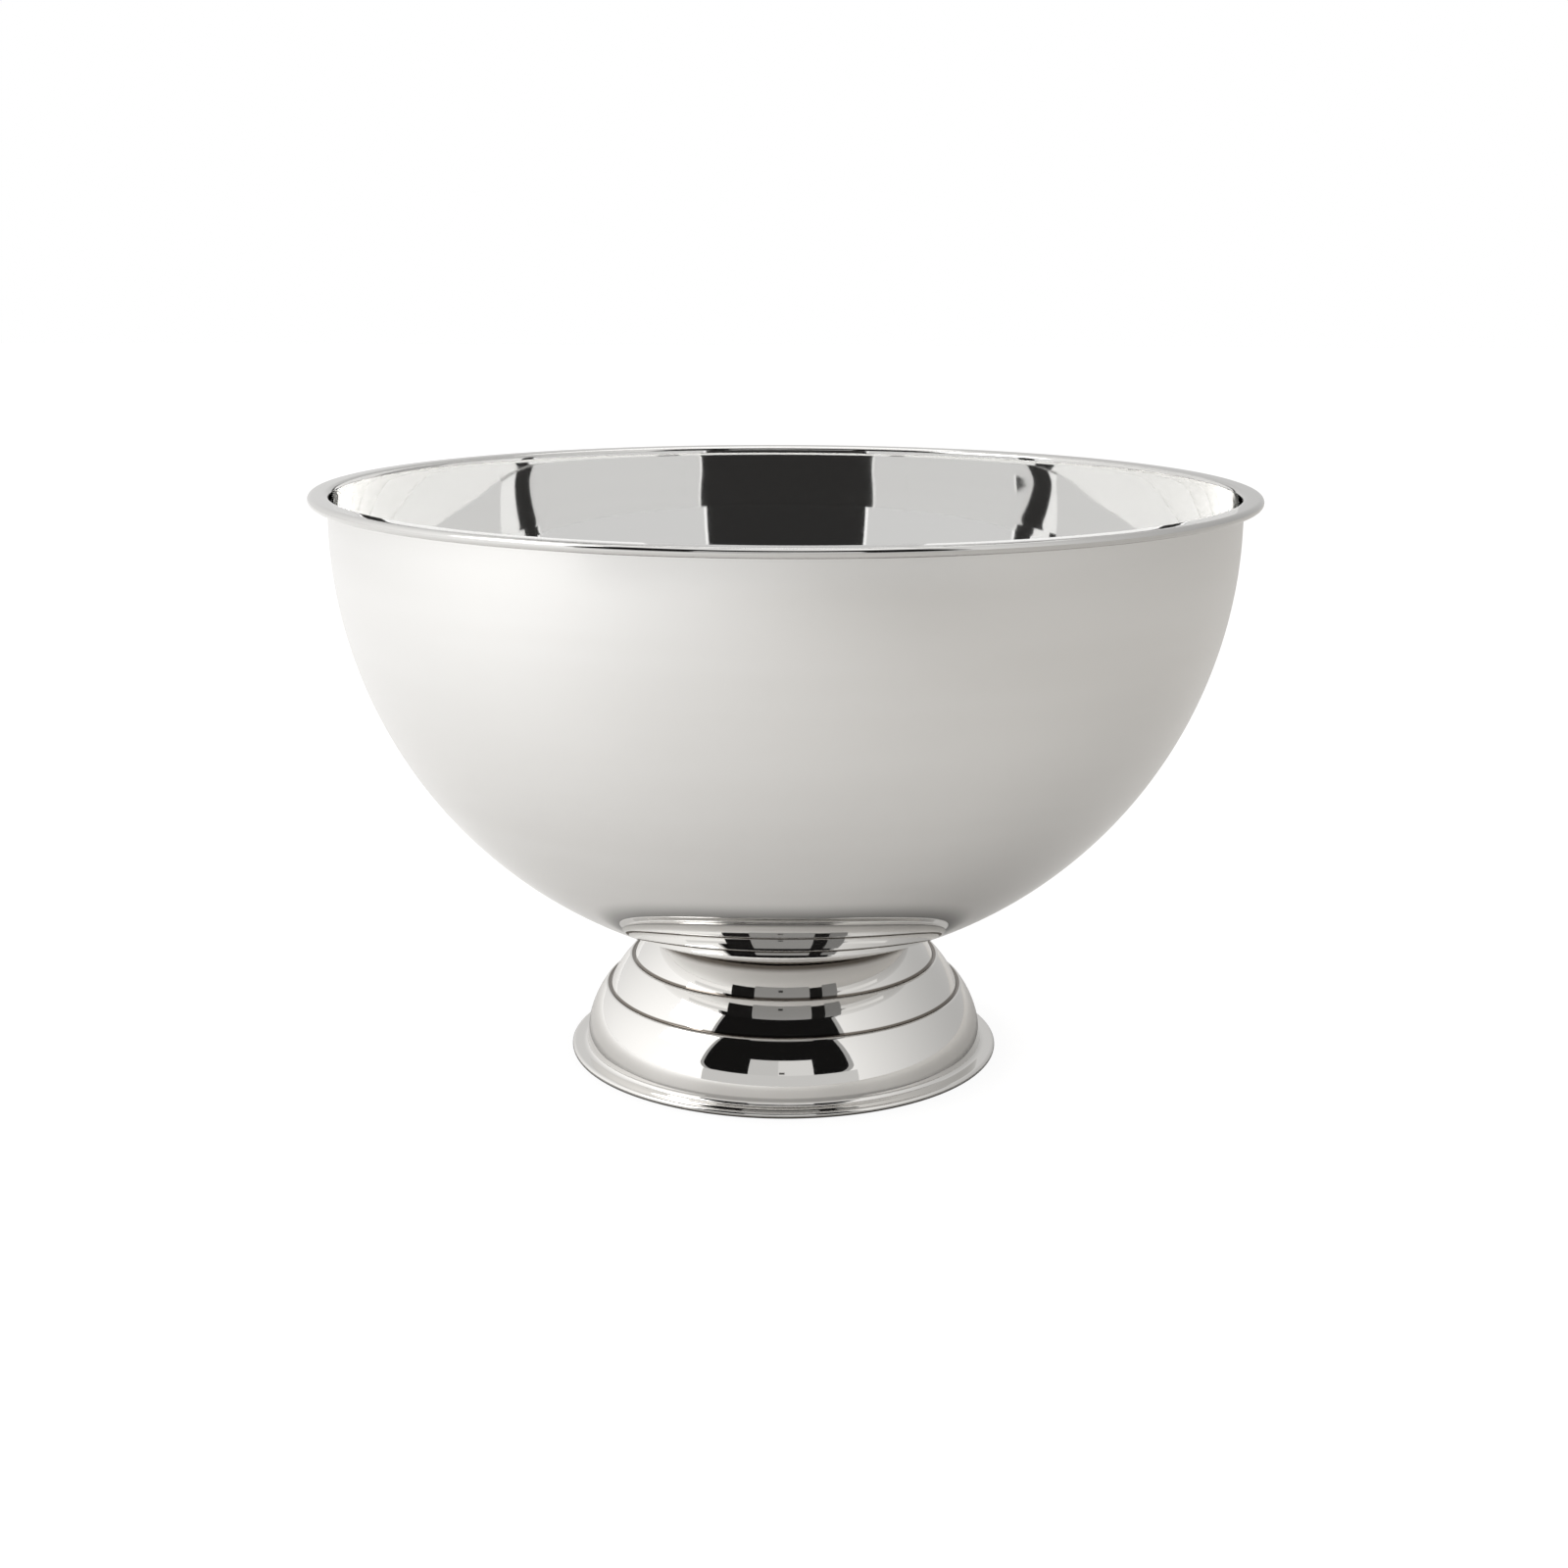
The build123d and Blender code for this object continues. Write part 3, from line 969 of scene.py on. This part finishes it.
def addFloor():
    half = studio["floorSize"] / 2
    corners = [(-half, -half, 0), (half, -half, 0), (half, half, 0), (-half, half, 0)]
    floor = makePiece("studio_floor", corners, [(0, 1, 2, 3)])
    floor.location.z = footLow.z - 0.05 * mm
    material, tree, shader = newMaterial("paleFloor", studio["floorPaintedLight"], 0)
    shader.inputs["Roughness"].default_value = 0.6
    place = tree.nodes.new("ShaderNodeTexCoord")
    split = tree.nodes.new("ShaderNodeSeparateXYZ")
    tree.links.new(place.outputs["Object"], split.inputs[0])
    # painted light on the floor: its colour runs from light on the left to shaded on the right, as if a lamp
    # stood on the left
    across = rangeNode(tree, split.outputs[0], *studio["paintedLightSpan"], 0, 1)
    away = tree.nodes.new("ShaderNodeVectorMath")
    away.operation = "LENGTH"
    tree.links.new(place.outputs["Object"], away.inputs[0])
    shade = rangeNode(tree, away.outputs["Value"], *studio["contactReach"], 1 - studio["contactShade"], 0)
    tone = mixColour(tree, across, studio["floorPaintedLight"], studio["floorPaintedShade"])
    tree.links.new(mixColour(tree, shade, tone, (0, 0, 0)), shader.inputs["Base Color"])
    glow = tree.nodes.new("ShaderNodeEmission")
    glow.inputs["Strength"].default_value = studio["floorGlow"]
    ray = tree.nodes.new("ShaderNodeLightPath")
    share = mathNode(tree, "MULTIPLY", ray.outputs["Is Camera Ray"], studio["glowShare"])
    blend = tree.nodes.new("ShaderNodeMixShader")
    tree.links.new(share, blend.inputs[0])
    tree.links.new(shader.outputs[0], blend.inputs[1])
    tree.links.new(glow.outputs[0], blend.inputs[2])
    tree.links.new(blend.outputs[0], tree.nodes["Material Output"].inputs["Surface"])
    floor.data.materials.append(material)


def addWorld():
    world = bpy.data.worlds.new("studioAir")
    world.use_nodes = True
    scene.world = world
    tree = world.node_tree
    soft = tree.nodes["Background"]
    soft.inputs["Color"].default_value = (*studio["lightTint"], 1)
    place = tree.nodes.new("ShaderNodeTexCoord")
    split = tree.nodes.new("ShaderNodeSeparateXYZ")
    tree.links.new(place.outputs["Generated"], split.inputs[0])
    light = mathNode(tree, "MULTIPLY_ADD", split.outputs[0], studio["airToRight"], studio["airLight"])
    light = mathNode(tree, "MULTIPLY_ADD", split.outputs[1], studio["airToBack"], light)
    tree.links.new(light, soft.inputs["Strength"])
    seen = tree.nodes.new("ShaderNodeBackground")
    seen.inputs["Color"].default_value = (1, 1, 1, 1)
    ray = tree.nodes.new("ShaderNodeLightPath")
    blend = tree.nodes.new("ShaderNodeMixShader")
    tree.links.new(ray.outputs["Is Camera Ray"], blend.inputs[0])
    tree.links.new(soft.outputs[0], blend.inputs[1])
    tree.links.new(seen.outputs[0], blend.inputs[2])
    tree.links.new(blend.outputs[0], tree.nodes["World Output"].inputs["Surface"])


def addSoftbox(name, place, aim, size, power):
    light = bpy.data.lights.new(name, "AREA")
    light.shape = "RECTANGLE"
    light.size, light.size_y = size
    light.energy = power
    lamp = bpy.data.objects.new(name, light)
    lamp.location = place
    lamp.rotation_euler = (Vector(aim) - Vector(place)).to_track_quat("-Z", "Y").to_euler()
    scene.collection.objects.link(lamp)


addWorld()
addFloor()
addRing(ringCards, ring["distance"], ring["low"])
addRing(upperCards, ring["upperDistance"], ring["split"])
addFar()
for name, (first, last, distance, start, end, low, high, brightness, corner) in frontCards.items():
    material = cardMaterial(name, brightness, first, last, False)
    addCard(name, distance, (start, end), (start, end), low, high, material, corner)
addSoftbox("keyLeft", (-2.3, -0.9, 1.9), (-0.3, -0.4, 0), (1.4, 1.4), 22)
addSoftbox("topSoft", (0.2, 0.4, 2.4), (0, 0, 0), (1.8, 1.8), 8)
print("studio set")
